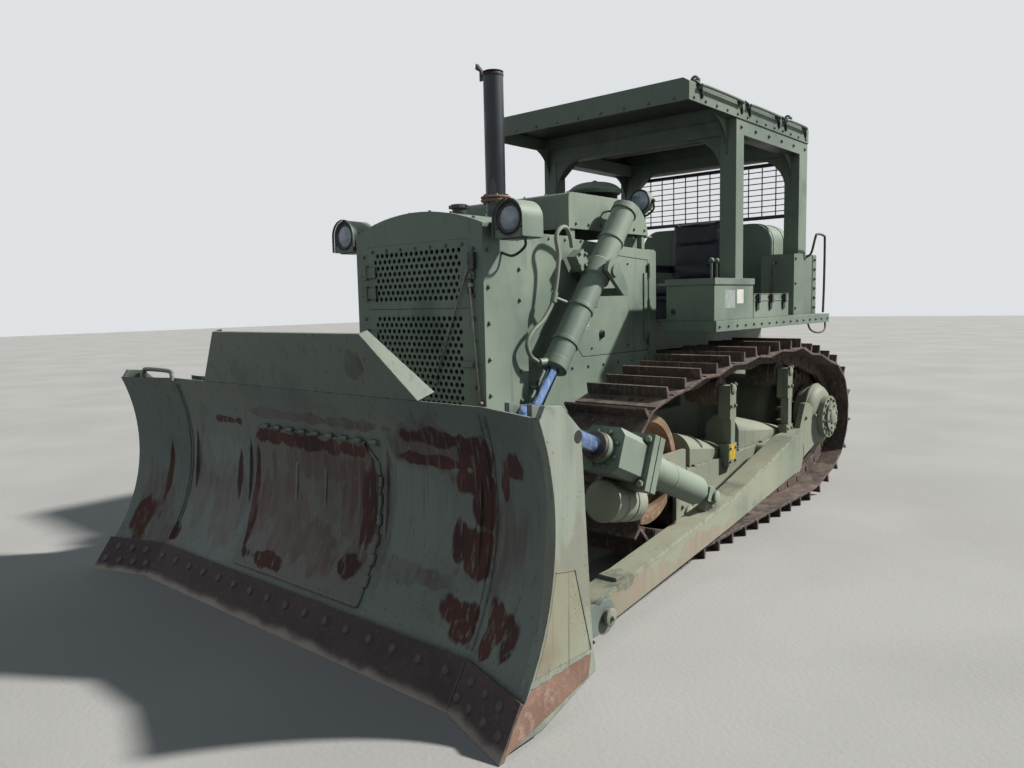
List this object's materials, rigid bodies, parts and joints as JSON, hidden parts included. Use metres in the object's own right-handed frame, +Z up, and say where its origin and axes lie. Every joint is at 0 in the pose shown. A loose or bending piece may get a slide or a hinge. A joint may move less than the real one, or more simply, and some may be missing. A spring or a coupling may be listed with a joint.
{
  "type": "bulldozer",
  "caption": "Crawler bulldozer with a semi-U blade on push arms, lift cylinders beside the hood and an open four-post canopy",
  "frame": {"origin": "on the ground below the middle of the machine's overall box", "axes": "+X is the machine's left, +Y its rear, +Z up; it faces -Y"},
  "size_m": [3.49, 5.593, 3.223],
  "materials": {
    "body_paint": "faded sage green paint",
    "dark_paint": "black paint, worn",
    "bare_steel": "rusty worn steel",
    "edge_steel": "worn cutting steel",
    "rod_chrome": "polished rod",
    "idler_rust": "rusty orange cast steel",
    "seat_cover": "dark navy vinyl",
    "seat_shell": "black frame",
    "lamp_body": "dark lamp housing",
    "controls": "black controls"
  },
  "bodies": {
    "machine": {"battery_box": "body_paint", "canopy_frame": "body_paint", "control_console": "controls", "cowl": "body_paint", "drawbar": "body_paint", "engine_block": "body_paint", "exhaust_stack": "dark_paint", "foot_controls": "controls", "fuel_tank": "body_paint", "grille": "body_paint", "headlamp_left": "lamp_body", "headlamp_right": "lamp_body", "hood": "body_paint", "idler_left": "idler_rust", "idler_right": "idler_rust", "lift_yoke_left": "body_paint", "lift_yoke_right": "body_paint", "main_frame": "body_paint", "oil_tank": "body_paint", "platform": "body_paint", "precleaner": "dark_paint", "radiator_core": "dark_paint", "radiator_guard": "body_paint", "rear_screen": "dark_paint", "rollers_left": "bare_steel", "rollers_right": "bare_steel", "roof": "body_paint", "seat_back": "seat_cover", "seat_cushion": "seat_cover", "seat_frame": "seat_shell", "sprocket_left": "bare_steel", "sprocket_right": "bare_steel", "toolbox": "body_paint", "track_frame_left": "body_paint", "track_frame_right": "body_paint", "track_left": "bare_steel", "track_right": "bare_steel", "work_lamp": "lamp_body"},
    "blade_assembly": {"blade": "body_paint", "spill_guard": "body_paint", "cutting_edge": "edge_steel", "end_bits": "edge_steel", "push_arm_left": "body_paint", "push_arm_right": "body_paint", "tilt_cylinder": "body_paint", "tilt_rod": "rod_chrome", "screw_brace": "body_paint"},
    "lift_barrel_left_body": {"lift_barrel_left": "body_paint"},
    "lift_barrel_right_body": {"lift_barrel_right": "body_paint"},
    "lift_rod_left_body": {"lift_rod_left": "rod_chrome"},
    "lift_rod_right_body": {"lift_rod_right": "rod_chrome"},
    "side_door_left_body": {"side_door_left": "body_paint"},
    "side_door_right_body": {"side_door_right": "body_paint"},
    "toolbox_lid_body": {"toolbox_lid": "body_paint"},
    "rain_cap_body": {"rain_cap": "dark_paint"}
  },
  "joints": [
    {"name": "blade_lift", "type": "hinge", "parent": "machine", "child": "blade_assembly", "pos_m": [0, 0.7965, 0.515], "axis": [-1, 0, 0], "range_deg": [-7, 18]},
    {"name": "lift_barrel_left_swing", "type": "hinge", "parent": "machine", "child": "lift_barrel_left_body", "pos_m": [0.64, -0.5355, 1.83], "axis": [-1, 0, 0], "range_deg": [-8, 19]},
    {"name": "lift_rod_left_slide", "type": "slide", "parent": "lift_barrel_left_body", "child": "lift_rod_left_body", "axis": [0, -0.6278, -0.7784], "range_m": [-0.6, 0.24]},
    {"name": "lift_barrel_right_swing", "type": "hinge", "parent": "machine", "child": "lift_barrel_right_body", "pos_m": [-0.64, -0.5355, 1.83], "axis": [-1, 0, 0], "range_deg": [-8, 19]},
    {"name": "lift_rod_right_slide", "type": "slide", "parent": "lift_barrel_right_body", "child": "lift_rod_right_body", "axis": [0, -0.6278, -0.7784], "range_m": [-0.6, 0.24]},
    {"name": "side_door_left_hinge", "type": "hinge", "parent": "machine", "child": "side_door_left_body", "pos_m": [0.509, 0.3165, 1.6], "axis": [0, 0, 1], "range_deg": [0, 60]},
    {"name": "side_door_right_hinge", "type": "hinge", "parent": "machine", "child": "side_door_right_body", "pos_m": [-0.509, 0.3165, 1.6], "axis": [0, 0, -1], "range_deg": [0, 60]},
    {"name": "toolbox_lid_hinge", "type": "hinge", "parent": "machine", "child": "toolbox_lid_body", "pos_m": [0.674, 0.5715, 1.741], "axis": [0, -1, 0], "range_deg": [0, 95]},
    {"name": "rain_cap_hinge", "type": "hinge", "parent": "machine", "child": "rain_cap_body", "pos_m": [-0.081, -0.7735, 3.144], "axis": [0, -1, 0], "range_deg": [0, 65]}
  ],
  "couplings": [
    {"joint": "lift_barrel_left_swing", "follows": "blade_lift", "ratio": 1.018},
    {"joint": "lift_rod_left_slide", "follows": "blade_lift", "m_per_rad": -1.865},
    {"joint": "lift_barrel_right_swing", "follows": "blade_lift", "ratio": 1.018},
    {"joint": "lift_rod_right_slide", "follows": "blade_lift", "m_per_rad": -1.865}
  ]
}
